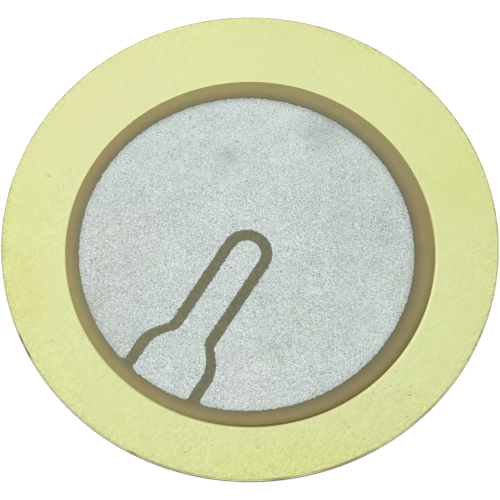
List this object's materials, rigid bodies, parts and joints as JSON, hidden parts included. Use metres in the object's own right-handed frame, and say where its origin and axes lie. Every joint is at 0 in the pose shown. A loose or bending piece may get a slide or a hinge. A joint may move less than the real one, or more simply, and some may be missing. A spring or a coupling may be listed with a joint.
{
  "type": "piezo disc",
  "caption": "Round brass diaphragm with a silvered piezoelectric ceramic bonded to its front, its print split into a main electrode and a narrow feedback tongue; makes or senses sound.",
  "frame": {"origin": "centre of the brass plate's rear face", "axes": "+Z out of the front, the side with the ceramic and its silver print; the tongue points 58 degrees from +X towards +Y"},
  "size_m": [0.027, 0.027, 0.0005],
  "materials": {
    "brass_sheet": "rolled, bare, semi-matt",
    "epoxy_bond": "clear cured adhesive",
    "rear_silver": "fired silver, matt",
    "piezo_ceramic": "sintered, unglazed, satin",
    "main_silver": "screen-printed fired silver, matt and grainy",
    "feedback_silver": "screen-printed fired silver, matt and grainy"
  },
  "bodies": {
    "root": {"brass_plate": "brass_sheet", "adhesive_layer": "epoxy_bond", "rear_electrode": "rear_silver", "ceramic_disc": "piezo_ceramic", "main_electrode": "main_silver", "feedback_electrode": "feedback_silver"}
  },
  "joints": []
}
